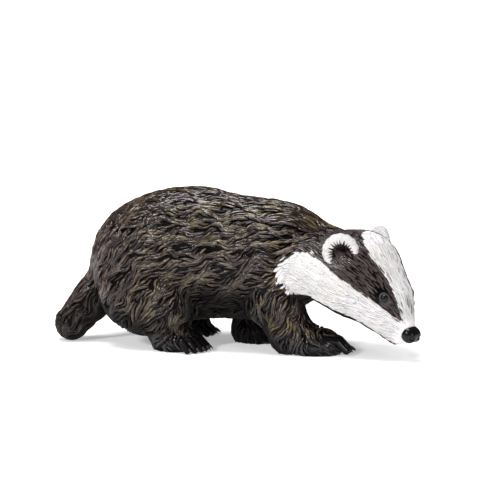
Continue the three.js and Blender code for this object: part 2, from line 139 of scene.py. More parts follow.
# Body
figure = {
    "backHeight": 41.3,  # top of the arched back
    "bodyWidth": 30.4,
    "headAt": [30.6, -3.0, 22.6],  # middle of the skull
    "headYaw": -24.0,
    "headPitch": 32.0,
    "tail": [[-34, -0.5, 18.5], [-39.8, -2.5, 11.3], [-45.2, -5.0, 4.7]],
    "tailRadii": [5.6, 4.4, 3.8],
}
halfBody = figure["bodyWidth"] / 2
trunkMass = blend(
    7,
    ovoid([-22.5, 0, 22.0], [17.6, halfBody, 16.4], turned(pitch=-16)),  # rump
    ovoid([-11, 0, figure["backHeight"] - 14.1], [16, 12, 13.8], turned(pitch=3)),
    ovoid([-4, 0, 22.6], [19, halfBody - 1.6, 14.4]),  # belly
    ovoid([8.2, -0.5, 22.5], [12.6, halfBody - 2.6, 13.0]),  # chest
    ovoid([9, -0.5, 26.6], [14, 9.8, 10.6], turned(pitch=8)),  # withers
)

headAt = np.array(figure["headAt"])
headTurn = turned(yaw=figure["headYaw"], pitch=figure["headPitch"])


def onHead(forward, left, up):
    return headAt + headTurn @ np.array([forward, left, up], float)


def headPlace(points):
    return (points - headAt) @ headTurn


nape = headAt + [-5.0, 0.6, 0.4]
neckMass = blend(5, *[limb([14, side - 0.3, 25.2], nape + [0, side, 0], 8.9, 7.5)
                      for side in (-3.5, 3.5)])
headMass = blend(
    3.5,
    ovoid(onHead(-0.6, 0, -1.0), [10.6, 11.0, 8.3], headTurn),  # skull
    *[ovoid(onHead(-3.0, side * 7.2, -2.0), [9.5, 6.2, 6.4], headTurn) for side in (-1, 1)],
    limb(onHead(3.6, 0, 0.9), onHead(14.2, 0, 1.0), 11.6, 6.9),
    limb(onHead(14.0, 0, 0.0), onHead(22.6, 0, -1.5), 5.9, 3.2),
    limb(onHead(3, 0, -4.2), onHead(22.2, 0, -4.8), 4.6, 2.5),  # jaw
)
tailRoot, tailBend, tailTip = [np.array(point, float) for point in figure["tail"]]
rootRadius, bendRadius, tipRadius = figure["tailRadii"]
tailMass = blend(
    2,
    limb(tailRoot, tailBend, rootRadius, bendRadius),
    limb(tailBend, tailTip, bendRadius, tipRadius),
)

# Legs: masses from the top down, and the foot's middle, half sizes and turn
legs = {
    "hind_right": {
        "masses": [ovoid([-22.6, -10.0, 14.2], [12.9, 6.8, 10.3], turned(pitch=8)),
                   limb([-16.2, -11, 10], [-16.6, -11.5, 3.6], 5.0, 4.0)],
        "foot": ([-13.5, -11.2, 1.9], [5.6, 4.9, 3.2], -24),
    },
    "hind_left": {
        "masses": [ovoid([-21.5, 9.8, 14.2], [12.4, 6.6, 10.3], turned(pitch=4)),
                   limb([-18.5, 10.5, 9], [-18.5, 11.0, 3.0], 4.8, 4.0)],
        "foot": ([-17.8, 11.0, 1.9], [5.7, 4.7, 3.1], 8),
    },
    "fore_right": {
        "masses": [ovoid([11, -7.5, 19], [8.5, 6.0, 10], turned(pitch=10)),
                   limb([12, -8, 13], [16.4, -8.0, 5.8], 6.4, 4.7),
                   limb([16.0, -7.8, 4.2], [22.5, -7.6, 3.2], 4.3, 3.4)],
        "foot": ([24.1, -7.3, 1.9], [5.9, 4.7, 4.0], 24),
    },
    "fore_left": {
        "masses": [ovoid([8, 7, 19], [8.5, 6.0, 10], turned(pitch=-5)),
                   limb([4.6, 6.5, 13], [2.0, 5.5, 5.0], 5.8, 4.7)],
        "foot": ([4.0, 5.3, 1.9], [6.4, 4.4, 3.0], -4),
    },
}
toes = {
    "count": 5,
    "beyond": 1.6,  # how far the middle tip stands out of the foot
    "back": [6.0, 2.3, 0.0],  # root, knuckle and tip, back from the tip
    "height": [3.7, 2.95, 1.0],  # on a foot 3.2 high
    "radius": [1.0, 1.06, 0.96],
    "spread": [0.7, 0.9, 1.0],
    "clawLength": 1.4,
    "clawRadius": 0.48,
}


def toePlaces(foot):
    # root, knuckle and tip of each toe of one foot
    at, half, yaw = foot
    turn = turned(yaw=yaw)
    for number in range(toes["count"]):
        left = (number / (toes["count"] - 1) - 0.5) * (half[1] * 2 - 1.4)
        reach = half[0] * math.sqrt(1 - (left / (half[1] * 1.35)) ** 2) + toes["beyond"]
        spots = [[reach - back, left * spread, height * half[2] / 3.2]
                 for back, spread, height in zip(toes["back"], toes["spread"], toes["height"])]
        yield [np.array([at[0], at[1], 0]) + turn @ np.array(spot) for spot in spots]


for leg in legs.values():
    at, half, yaw = leg["foot"]
    leg["footMass"] = ovoid(at, half, turned(yaw=yaw))
    leg["mass"] = blend(3, *leg["masses"], leg["footMass"])
    bones = [bone for toe in toePlaces(leg["foot"])
             for bone in zip(toe, toe[1:], toes["radius"], toes["radius"][1:])]
    leg["toes"] = blend(0.15, *[limb(*bone) for bone in bones])
    leg["foreFoot"] = closeBy(at, 15, leg["toes"])

bodyMass = blend(
    1.6,
    blend(3, blend(6, trunkMass, neckMass), headMass),
    *[leg["mass"] for leg in legs.values()],
    tailMass,
)
footedMass = blend(0.3, bodyMass, *[leg["foreFoot"] for leg in legs.values()])


def skinDistance(points):
    # the whole body, cut flat by the floor
    return np.maximum(footedMass(points), -points[:, 2])


def toLegs(pair, points):
    # distance to the nearer of the two hind or fore legs
    return np.minimum(legs[pair + "_right"]["mass"](points), legs[pair + "_left"]["mass"](points))


def slopeAt(mass, points, step=0.05):
    slopes = [mass(points + step * axis) - mass(points - step * axis) for axis in np.eye(3)]
    return np.stack(slopes, 1) / (2 * step)


def settle(mass, points, rounds=2):
    # moves points onto a mass's surface, and gives the way out of it there
    for _ in range(rounds):
        slope = slopeAt(mass, points)
        share = mass(points) / np.maximum((slope ** 2).sum(1), 0.05)
        points = points - slope * share[:, None]
    return points, unit(slope)


# Meshes

def polygonise(mass, low, high, cell):
    # one vertex in each grid cell that the surface crosses, and one square across each such grid edge;
    # points far from the surface keep the value of a coarse grid
    low = np.array(low, float)
    coarse = 6
    blocks = np.ceil((np.array(high) - low) / (cell * coarse)).astype(int)
    counts = blocks * coarse + 1
    blockMiddles = low + cell * coarse * (np.indices(blocks).reshape(3, -1).T + 0.5)
    level = np.repeat(mass(blockMiddles), coarse ** 3).reshape(*blocks, coarse, coarse, coarse)
    level = level.transpose(0, 3, 1, 4, 2, 5).reshape(counts - 1)
    level = np.pad(level, ((0, 1), (0, 1), (0, 1)), mode="edge")
    places = np.argwhere(np.abs(level) < cell * coarse * 1.4)
    chunk = 300000
    for first in range(0, len(places), chunk):
        part = places[first:first + chunk]
        level[tuple(part.T)] = mass(low + cell * part)
    inside = level < 0
    filled = np.zeros(counts - 1, int)
    corners = [np.array(corner) for corner in np.ndindex(2, 2, 2)]
    for corner in corners:
        filled += inside[tuple(slice(c, n - 1 + c) for c, n in zip(corner, counts))]
    crossed = (filled > 0) & (filled < 8)
    cells = np.argwhere(crossed)
    numbers = np.full(counts - 1, -1)
    numbers[crossed] = np.arange(len(cells))
    total, crossings = np.zeros((len(cells), 3)), np.zeros(len(cells))
    for a in corners:
        for b in corners:
            if (b - a).min() < 0 or (b - a).sum() != 1:
                continue
            fromLevel, toLevel = level[tuple((cells + a).T)], level[tuple((cells + b).T)]
            crosses = (fromLevel < 0) != (toLevel < 0)
            share = fromLevel[crosses] / (fromLevel - toLevel)[crosses]
            total[crosses] += a + share[:, None] * (b - a)
            crossings[crosses] += 1
    vertices = low + cell * (cells + total / crossings[:, None])
    squares = []
    for axis in range(3):
        u, v = np.eye(3, dtype=int)[(axis + 1) % 3], np.eye(3, dtype=int)[(axis + 2) % 3]
        here, there = np.delete(inside, -1, axis), np.delete(inside, 0, axis)
        for mask, step in ((here & ~there, 1), (~here & there, -1)):
            edges = np.argwhere(mask)
            offLow = (edges - u - v).min(1) >= 0
            offHigh = (edges @ u < counts @ u - 1) & (edges @ v < counts @ v - 1)
            edges = edges[offLow & offHigh]
            ring = [numbers[tuple(e.T)] for e in (edges - u - v, edges - v, edges, edges - u)]
            squares.append(np.stack(ring, 1)[:, ::step])
    return vertices, np.concatenate(squares).tolist()


def addObject(name, data):
    made = bpy.data.objects.new(name, data)
    bpy.context.scene.collection.objects.link(made)
    return made


def meshFrom(name, points, faces, material):
    mesh = bpy.data.meshes.new(name)
    mesh.from_pydata(toFrame(points), [], faces)
    mesh.polygons.foreach_set("use_smooth", np.ones(len(mesh.polygons), bool))
    mesh.materials.append(material)
    mesh.update()
    return addObject(name, mesh)


def writeNumbers(mesh, name, values):
    # one number or vector for each point of a mesh, for materials and trees to read
    values = np.asarray(values, np.float32)
    kind = "FLOAT" if values.ndim == 1 else "FLOAT_VECTOR"
    layer = mesh.attributes.get(name) or mesh.attributes.new(name, kind, "POINT")
    layer.data.foreach_set("value" if values.ndim == 1 else "vector", values.ravel())


def readNumbers(mesh, name, kind):
    values = np.empty(len(mesh.vertices), kind)
    mesh.attributes[name].data.foreach_get("value", values)
    return values


def pointsOf(mesh):
    places = np.empty(len(mesh.vertices) * 3, np.float32)
    mesh.vertices.foreach_get("co", places)
    return fromFrame(places.reshape(-1, 3).astype(float))


# Markings, in the head's own frame: forward, left and up of the middle of the skull
marks = {
    # half width of the white stripe on the crown, from the back of the skull to the nose
    "crown": [(-1.5, 0.0), (-0.4, 2.0), (2.5, 4.4), (6.4, 5.6), (9.9, 4.9), (12.4, 4.1), (15.2, 3.8),
              (18.0, 3.7), (20.3, 3.4), (22.6, 2.6), (24.0, 3.2)],
    # outline of the white cheek as seen from the side, forward and up
    "cheek": [(30.0, 1.0), (22.4, 0.8), (20.1, 1.3), (16.8, 1.95), (14.3, 2.4), (10.8, 2.85), (7.7, 2.9),
              (2.5, 3.0), (-1.9, 3.0), (-5.6, 3.1), (-7.2, 2.1), (-9.0, 0.6), (-9.7, -1.4), (-9.8, -4.4),
              (-8.3, -6.5), (-6.6, -8.5), (-4.9, -9.6), (-3.1, -9.2), (0.7, -7.6), (3.1, -7.6),
              (10.0, -7.3), (16.0, -6.9), (21.0, -6.5), (30.0, -5.4)],
    "crownAbove": 0.5,  # the crown's stripe ends at this height
    "snoutFrom": 22.7,  # all white in front of this
    "chinUnder": -6.3,  # black below this
    "neckAbove": 14.5,  # off the head itself, white only above this height
    "limit": 6.0,  # distances from the markings' edge are kept within this
}


def headShare(points):
    # 1 on the head and 0 behind it and on the legs
    return ease(-11, -6, headPlace(points)[:, 0]) * ease(4, 1.5, headMass(points))


def outlineDistance(outline, points):
    # signed distance of points in a plane from a closed outline, above 0 inside it
    corners = np.array(outline, float)
    nearest = np.full(len(points), 1e9)
    inside = np.zeros(len(points), bool)
    for a, b in zip(corners, np.roll(corners, -1, 0)):
        side = b - a
        share = np.clip((points - a) @ side / (side @ side), 0, 1)
        nearest = np.minimum(nearest, np.linalg.norm(points - a - share[:, None] * side, axis=1))
        crosses = (a[1] > points[:, 1]) != (b[1] > points[:, 1])
        rise = b[1] - a[1] if b[1] != a[1] else 1e-9
        inside ^= crosses & (points[:, 0] < a[0] + (points[:, 1] - a[1]) * side[0] / rise)
    return np.where(inside, nearest, -nearest)


def whiteAt(points):
    # millimetres inside the white markings, below 0 outside them
    place = headPlace(points)
    forward, left, up = place.T
    halfWidth = np.interp(forward, *zip(*marks["crown"]))
    crown = np.minimum(halfWidth - np.abs(left), (forward + 1.2) * 0.9)
    crown = np.minimum(crown, up - marks["crownAbove"])
    cheek = outlineDistance(marks["cheek"], place[:, [0, 2]])
    snout = np.minimum(forward - marks["snoutFrom"], up - marks["chinUnder"])
    onHeadOnly = np.maximum(3.0 - headMass(points), points[:, 2] - marks["neckAbove"])
    white = np.minimum(np.max([crown, cheek, snout], axis=0), onHeadOnly)
    return np.clip(white, -marks["limit"], marks["limit"])


def ripple(points, size, seed):
    # smooth bumps from -1 to 1 that repeat about every size millimetres, the same each run
    draw = np.random.default_rng(seed)
    total = np.zeros(len(points))
    for _ in range(7):  # waves in as many ways
        way = unit(draw.normal(size=3))
        pitch = size * draw.uniform(0.75, 1.5)
        total += np.sin(points @ way * (2 * math.pi / pitch) + draw.uniform(0, 2 * math.pi))
    return np.clip(total / 3.2, -1, 1)


# Paint: expressions on sockets add the nodes

class Wire:
    # one socket of a material; sums and products of wires and numbers add Math nodes
    def __init__(self, tree, socket):
        self.tree = tree
        self.socket = socket

    def node(self, kind, settings=None, inputs=None, out=0):
        made = self.tree.nodes.new(kind)
        for name, value in (settings or {}).items():
            setattr(made, name, value)
        for name, value in (inputs or {}).items():
            socket = made.inputs[name]
            if isinstance(value, Wire):
                self.tree.links.new(value.socket, socket)
            else:
                socket.default_value = value
        return Wire(self.tree, made.outputs[out])

    def math(self, operation, first, second=0.0):
        return self.node("ShaderNodeMath", {"operation": operation}, {0: first, 1: second})

    def __add__(self, other):
        return self.math("ADD", self, other)

    def __sub__(self, other):
        return self.math("SUBTRACT", self, other)

    def __mul__(self, other):
        return self.math("MULTIPLY", self, other)

    def __rsub__(self, other):
        return self.math("SUBTRACT", other, self)

    __radd__ = __add__
    __rmul__ = __mul__

    def between(self, low, high):
        # 0 at low and 1 at high, held there beyond them
        settings = {"interpolation_type": "SMOOTHSTEP"}
        inputs = {"Value": self, "From Min": low, "From Max": high}
        return self.node("ShaderNodeMapRange", settings, inputs)

    def mix(self, first, second):
        # first where this wire is 0 and second where it is 1
        return self.node("ShaderNodeMix", {"data_type": "RGBA"}, {0: self, 6: first, 7: second}, out=2)

    def noise(self, place, size, detail=2.0):
        # noise from 0 to 1 in patches of about size millimetres
        inputs = {"Vector": place, "Scale": 1 / (size * toMetres), "Detail": detail}
        return self.node("ShaderNodeTexNoise", None, inputs, out="Fac")


def startMaterial(name):
    material = bpy.data.materials.new(name)
    material.use_nodes = True
    tree = material.node_tree
    shader = tree.nodes["Principled BSDF"]
    return material, shader, Wire(tree, tree.nodes["Material Output"].inputs[0])


def plug(wire, socket):
    wire.tree.links.new(wire.socket, socket)


def colour(red, green, blue):
    # linear colour from the 0 to 255 values that a paint shows
    shares = [value / 255 for value in (red, green, blue)]
    return tuple(s / 12.92 if s <= 0.04045 else ((s + 0.055) / 1.055) ** 2.4 for s in shares) + (1.0,)


coatPaint = {
    # near black in the grooves: a dark wash, deepened with painted shade
    "groove": colour(5, 3, 3),
    "brown": colour(31, 21, 18),
    "olive": colour(102, 89, 56),
    "ash": colour(112, 95, 89),
    "umber": colour(74, 62, 62),
    "black": colour(10, 8, 8),
    "white": colour(219, 216, 217),
    "ivory": colour(219, 216, 211),
    "lilac": colour(104, 99, 112),
    "roughness": 0.4,
    "reflection": 0.05,  # of the paint itself: the shine is the varnish's
    "varnish": 0.14,  # roughness of the varnish
    "rump": (-38, -24),  # the ash grows from the second place back to the first
    "fine": 0.4,  # sizes of the paint's unevenness
    "grit": 1.1,
    "broad": 4.0,
    "hairs": 7,  # grooves on one lock
    "hairDepth": 0.06,
}


def paintCoat(name):
    material, shader, start = startMaterial(name)

    def number(attribute):
        return start.node("ShaderNodeAttribute", {"attribute_name": attribute}, out="Fac")

    place = start.node("ShaderNodeTexCoord", out="Object")
    crest, brush, white, olive = [number(name) for name in ("crest", "brush", "white", "olive")]
    footBlackAndShade, shade = number("footBlackAndShade"), number("shade")
    forward = start.node("ShaderNodeSeparateXYZ", None, {"Vector": place}, out="X")
    rear = 1 - forward.between(*[edge * toMetres for edge in coatPaint["rump"]])
    fine = start.noise(place, coatPaint["fine"])
    grit = start.noise(place, coatPaint["grit"], 3.0)
    broad = start.noise(place, coatPaint["broad"])
    whiteShare = (white + (fine - 0.5) * 0.5).between(-0.1, 0.1)
    stroke = crest.between(0.5, 0.9) * brush.between(0.2, 0.7) * grit.between(0.35, 0.55)
    # near black low on each lock and on the skin between locks: partly the figure's dark wash, partly
    # painted shade in the grooves
    dark = crest.between(0.05, 0.6).mix(coatPaint["groove"], coatPaint["brown"])
    dark = (stroke * olive).mix(dark, coatPaint["olive"])
    ashShare = 0.4 + rear * 0.5 + white.between(-5, -2) * 0.4
    dark = (stroke * (1 - olive) * ashShare).mix(dark, coatPaint["ash"])
    face = white.between(-5.5, -3.5) * olive.between(0.3, 0.05)
    dark = (face * crest.between(0.0, 0.5) * 0.75).mix(dark, coatPaint["umber"])
    # black paint on the feet, and painted shade under the body, between the legs and in front of the thighs
    dark = (footBlackAndShade * 0.9).mix(dark, coatPaint["black"])
    pale = broad.between(0.45, 0.7).mix(coatPaint["white"], coatPaint["ivory"])
    # grey-lilac in the grooves between white locks, in patches: painted strokes, and painted shade in the
    # grooves
    line = (1 - crest.between(0.1, 0.55)) * brush.between(0.3, 0.6)
    pale = (line * 0.8).mix(pale, coatPaint["lilac"])
    pale = (brush.between(0.945, 0.96) * 0.65).mix(pale, coatPaint["brown"])
    plug(whiteShare.mix(dark, pale), shader.inputs["Base Color"])
    plug(grit * 0.2 + (coatPaint["roughness"] - 0.1), shader.inputs["Roughness"])
    varnish = crest.between(0.1, 0.7) * 0.65 + footBlackAndShade * (1 - crest) * 0.4 + 0.1
    plug(varnish * (1 - shade * 0.9), shader.inputs["Coat Weight"])
    shader.inputs["Coat Roughness"].default_value = coatPaint["varnish"]
    shader.inputs["Specular IOR Level"].default_value = coatPaint["reflection"]
    hairs = start.math("SINE", number("around") * (2 * math.pi * coatPaint["hairs"]))
    relief = {"Strength": 0.5, "Distance": coatPaint["hairDepth"] * toMetres, "Height": hairs + fine}
    plug(start.node("ShaderNodeBump", None, relief, out="Normal"), shader.inputs["Normal"])
    return material


def paintPlain(name, base, roughness, specular=0.35, grain=0.3):
    # one colour with darker flecks, as strong as grain says
    material, shader, start = startMaterial(name)
    fleck = start.noise(start.node("ShaderNodeTexCoord", out="Object"), 0.625, 3.0)
    darker = tuple(value * 0.55 for value in base[:3]) + (1.0,)
    plug((fleck.between(0.3, 0.7) * grain).mix(base, darker), shader.inputs["Base Color"])
    plug(fleck * 0.1 + roughness, shader.inputs["Roughness"])
    shader.inputs["Specular IOR Level"].default_value = specular
    return material


# Skin: one surface for the whole body
skin = {"cell": 0.395, "low": [-51, -21, -1], "high": [54, 19, 43]}
coatMaterial = paintCoat("coat_paint")
skinPoints, skinFaces = polygonise(skinDistance, skin["low"], skin["high"], skin["cell"])
skinPoints, skinOut = settle(skinDistance, skinPoints)
skinPoints[:, 2] = np.maximum(skinPoints[:, 2], 0)


def oliveAt(points):
    # where the ridges are brushed with olive: in patches all over but the head and feet, less on the rump
    x, _, z = points.T
    spread = ease(3, 7, z) * (0.25 + 0.75 * ease(-34, -20, x)) * (1 - headShare(points))
    return np.clip(spread * (0.6 + 0.5 * ripple(points, 12, 5)), 0, 1)


def shadeAt(points, out):
    # painted shade, black and matt: under the body and the jaw, between the legs and in front of the thighs;
    # the underside and the inner legs are black on the figure as well
    x, y, z = points.T
    under = ease(0.1, -0.4, out[:, 2]) * ease(22, 14, z)
    brim = 17.5 + 3 * ease(-2, -8, x)
    belly = ease(brim, brim - 6, z) * ease(-14, -10, x) * ease(7, 2, x)
    crease = 0.8 * ease(2.0, 0.3, np.abs(toLegs("hind", points) - trunkMass(points))) * ease(21, 15, z)
    inner = ease(0.35, -0.2, out[:, 1] * np.sign(y + 1)) * ease(17, 11, z)
    return np.clip(np.max([under, belly, crease, inner], axis=0), 0, 1)


def dress(mesh, points, out, crest=0.0, brush=0.3, white=None):
    # what the coat's paint needs to know at each point
    writeNumbers(mesh, "crest", crest + np.zeros(len(points)))
    writeNumbers(mesh, "brush", brush + np.zeros(len(points)))
    writeNumbers(mesh, "white", whiteAt(points) if white is None else white)
    writeNumbers(mesh, "olive", oliveAt(points))
    shade = shadeAt(points, out)
    writeNumbers(mesh, "shade", shade)
    # the feet's own black paint low down, joined with the painted shade
    writeNumbers(mesh, "footBlackAndShade", np.maximum(shade, ease(6.5, 2.5, points[:, 2])))


skinPiece = meshFrom("skin", skinPoints, skinFaces, coatMaterial)
dress(skinPiece.data, skinPoints, skinOut)
print("skin", len(skinPoints), "points", len(skinFaces) * 2, "triangles")

# Eyes: glossy balls sunk in the head, each with a ring of lids round it
eye = {
    "place": [17.2, 6.2, 4.4],  # forward, left and up of the middle of the skull
    "radius": 1.35,
    "sunk": 0.45,  # depth of the ball's middle, as a share of its radius
    "opening": [1.4, 1.15],  # half length and half height between the lids
    "lids": [0.28, 0.2],  # radius of the upper and the lower lid
    "cell": 0.1,
}
eyeGloss = paintPlain("eye_gloss", colour(7, 6, 6), 0.07, 0.26)
lidPaint = paintPlain("lid_paint", colour(56, 49, 51), 0.35)


def eyeFrame(sign):
    # the eye's place on the head's surface; columns are outwards, forward and up
    forward, left, up = eye["place"]
    at, out = settle(headMass, onHead(forward, sign * left, up)[None], 3)
    ahead = unit(headTurn[:, 0] - out[0] * (headTurn[:, 0] @ out[0]))
    return at[0], np.stack([out[0], ahead, np.cross(out[0], ahead) * -sign], 1)


def toEyes(points):
    return np.min([np.linalg.norm(points - eyeFrame(sign)[0], axis=1) for sign in (-1, 1)], axis=0)


for side, sign in (("right", -1), ("left", 1)):
    at, turn = eyeFrame(sign)
    middle = at - turn[:, 0] * eye["radius"] * eye["sunk"]
    ballMass = ovoid(middle, [eye["radius"]] * 3)
    room = eye["radius"] + 0.35
    points, faces = polygonise(ballMass, middle - room, middle + room, eye["cell"])
    points, _ = settle(ballMass, points)
    ball = meshFrom("eyeball_" + side, points, faces, eyeGloss)
    long, tall = eye["opening"]
    angles = np.linspace(0, 2 * math.pi, 25)
    ring = [at + turn @ [0.02, long * math.cos(a) - 0.1 * math.sin(a), tall * math.sin(a)] for a in angles]
    upper, lower = eye["lids"]
    radii = [lower + (upper - lower) * (0.5 + 0.5 * math.sin(a)) for a in angles]
    bends = zip(ring, ring[1:], radii, radii[1:])
    lidMass = blend(0.15, *[limb(a, b, p, q + 1e-4) for a, b, p, q in bends])
    points, faces = polygonise(lidMass, at - 2.4, at + 2.4, eye["cell"])
    points, _ = settle(lidMass, points)
    lids = meshFrom("lids_" + side, points, faces, lidPaint)
    for piece in (ball, lids):
        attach(piece, "root")
    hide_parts("eye_" + side)
    print("eye", side, "at", np.round(at, 1))

# Nose: a broad pad, flat on top, with a nostril on each side and a groove down its middle
nose = {
    "at": [25.7, 0, -2.0],  # forward, left and up of the middle of the skull
    "half": [2.3, 2.6, 2.1],
    "nostril": 0.45,
    "cell": 0.1,
}
noseAt = onHead(*nose["at"])


def onNose(forward, left, up):
    return noseAt + headTurn @ np.array([forward, left, up], float)


noseMass = blend(
    0.9,
    ovoid(noseAt, nose["half"], headTurn),
    *[ovoid(onNose(0.5, side * 1.3, -0.1), [1.9, 1.3, 1.7], headTurn) for side in (-1, 1)],
    ovoid(onNose(-0.4, 0, 0.7), [2.2, 2.2, 1.3], headTurn),
)
nostrils = blend(
    0.1,
    *[limb(onNose(2.3, side * 1.15, 0.1), onNose(1.6, side * 2.5, 0.4), nose["nostril"], 0.25)
      for side in (-1, 1)],
)
groove = limb(onNose(2.75, 0, 0.3), onNose(2.3, 0, -2.4), 0.2, 0.3)
noseMass = carve(0.4, carve(0.4, noseMass, nostrils), groove)
points, faces = polygonise(noseMass, noseAt - 4, noseAt + 4, nose["cell"])
points, _ = settle(noseMass, points)
pad = meshFrom("nose_pad", points, faces, paintPlain("nose_gloss", colour(9, 8, 8), 0.18, 0.22))
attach(pad, "root")
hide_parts("nose")
print("nose pad", len(points), "points")

# Lie of the coat
waves = [(0.66, 4.8, 11), (0.32, 2.6, 12)]  # swing in radians, size in millimetres and seed
tailWay = unit(tailTip - tailRoot)


def lieAt(points, out):
    # the way that the coat lies: back along the body, down over the rump and legs, out along the tail,
    # and away from the nose on the head; it wanders from side to side in waves that neighbours share
    x, _, z = points.T
    way = np.stack([-np.ones(len(x)), np.zeros(len(x)), -0.25 - 1.4 * ease(18, 36, -x)], 1)

    def lean(towards, share):
        return way + (np.array(towards, float) - way) * share[:, None]

    way = lean([-0.55, 0, -0.85], ease(3, -1, toLegs("hind", points)) * ease(26, 18, z))
    way = lean([-0.15, 0, -1.0], ease(3, -1, toLegs("fore", points)) * ease(24, 14, z))
    for leg in legs.values():
        way = lean(turned(yaw=leg["foot"][2])[:, 0], ease(1.5, -1.0, leg["footMass"](points)))
    way = lean(tailWay, ease(3, -1, tailMass(points)))
    fromNose = unit(points - onHead(34, 0, 0))
    share = headShare(points)[:, None]
    way = way + (fromNose - way) * share
    way = unit(way - out * (way * out).sum(1)[:, None])
    sideways = np.cross(out, way)
    calm = np.maximum(0.35 * ease(34, 39, z), 0.78 * share[:, 0])
    swing = sum(reach * ripple(points, size, seed) for reach, size, seed in waves) * (1 - calm)
    return way * np.cos(swing)[:, None] + sideways * np.sin(swing)[:, None]


# Locks of the coat, in millimetres: across and along are the least gaps between their roots, lift is how
# far a tip stands off, and stray is how unevenly they keep to the markings
locks = {
    "seed": 4,
    "steps": 8,
    "sides": 7,
    "sunk": 0.6,  # depth of the lower half, as a share of the height
    "clearOf": {"floor": 0.8, "toes": 0.4, "eyes": 2.1},
    "noseFrom": 24.2,  # no locks in front of this
    "body": {"length": 5.2, "halfWidth": 0.43, "height": 0.7, "lift": 0.3, "across": 0.45, "along": 2.2,
             "draws": 90000, "stray": 0.45},
    "face": {"length": 3.0, "halfWidth": 0.24, "height": 0.24, "lift": 0.1, "across": 0.35, "along": 1.8,
             "draws": 30000, "stray": 0.22},
    "ear": {"length": 1.7, "halfWidth": 0.15, "height": 0.13, "lift": 0.08, "across": 0.27, "along": 1.0,
            "draws": 30000, "stray": 0.1},
    "foot": {"length": 2.6, "halfWidth": 0.3, "height": 0.3, "lift": 0.05, "across": 0.5, "along": 1.8,
             "draws": 20000, "stray": 0.0},
}


def rootsOver(points, out, kind, seed, lie=lieAt):
    # points drawn in a fixed order, none nearer another than the kind's spacing along and across the lie
    order = np.random.default_rng(seed).permutation(len(points))[:kind["draws"]]
    ways = lie(points[order], out[order]).tolist()
    places = points[order].tolist()
    size = kind["along"]
    stretch = 1 / kind["along"] ** 2 - 1 / kind["across"] ** 2
    squeeze = 1 / kind["across"] ** 2
    boxes, kept = {}, []
    beside = [(a, b, c) for a in (0, -1, 1) for b in (0, -1, 1) for c in (0, -1, 1)]
    for number, (x, y, z), (wayX, wayY, wayZ) in zip(order, places, ways):
        i, j, k = int(x // size), int(y // size), int(z // size)
        clear = True
        for a, b, c in beside:
            for otherX, otherY, otherZ in boxes.get((i + a, j + b, k + c), ()):
                dx, dy, dz = x - otherX, y - otherY, z - otherZ
                along = dx * wayX + dy * wayY + dz * wayZ
                if along * along * stretch + (dx * dx + dy * dy + dz * dz) * squeeze < 1:
                    clear = False
                    break
            if not clear:
                break
        if clear:
            boxes.setdefault((i, j, k), []).append((x, y, z))
            kept.append(number)
    return np.array(kept)


def unwrapAt(points):
    # a place from 0 to 1 on a flat sheet for each point of the skin: along and around its own part
    charts = [
        (trunkMass, [-41, 0, 20], [20, 0, 24], (0.00, 0.00, 0.50, 1.00)),
        (headMass, onHead(-14, 0, 0), onHead(28, 0, 0), (0.51, 0.00, 0.30, 0.60)),
        (tailMass, tailRoot, tailTip, (0.82, 0.00, 0.17, 0.30)),
        (legs["hind_right"]["mass"], [-20, -9, 24], [-20, -9, 0], (0.51, 0.61, 0.24, 0.19)),
        (legs["hind_left"]["mass"], [-20, 9, 24], [-20, 9, 0], (0.76, 0.61, 0.23, 0.19)),
        (legs["fore_right"]["mass"], [13, -8, 24], [16, -8, 0], (0.51, 0.81, 0.24, 0.18)),
        (legs["fore_left"]["mass"], [6, 6, 24], [4, 6, 0], (0.76, 0.81, 0.23, 0.18)),
    ]
    nearest = np.argmin([chart[0](points) for chart in charts], axis=0)
    sheet = np.zeros((len(points), 2))
    for number, (_, start, end, (left, low, width, height)) in enumerate(charts):
        mine = nearest == number
        start, end = np.array(start, float), np.array(end, float)
        axis = unit(end - start)
        upright = unit(np.cross(axis, [0.0, 1.0, 0.0]))
        local = points[mine] - start
        along = np.clip(local @ axis / np.linalg.norm(end - start), 0, 1)
        around = np.arctan2(local @ np.cross(axis, upright), local @ upright) / (2 * math.pi) + 0.5
        sheet[mine] = np.stack([left + along * width, low + around * height], 1)
    return sheet


def walk(roots, kind, sizes, mass, lie):
    # the middle line of each lock: from its root along the lie, over the mass's surface
    steps = locks["steps"]
    lines, outs = [], []
    at = roots.copy()
    for _ in range(steps + 1):
        at, out = settle(mass, at, 1)
        lines.append(at)
        outs.append(out)
        at = at + lie(at, out) * (kind["length"] * sizes / steps)[:, None]
    return np.stack(lines, 1), np.stack(outs, 1)


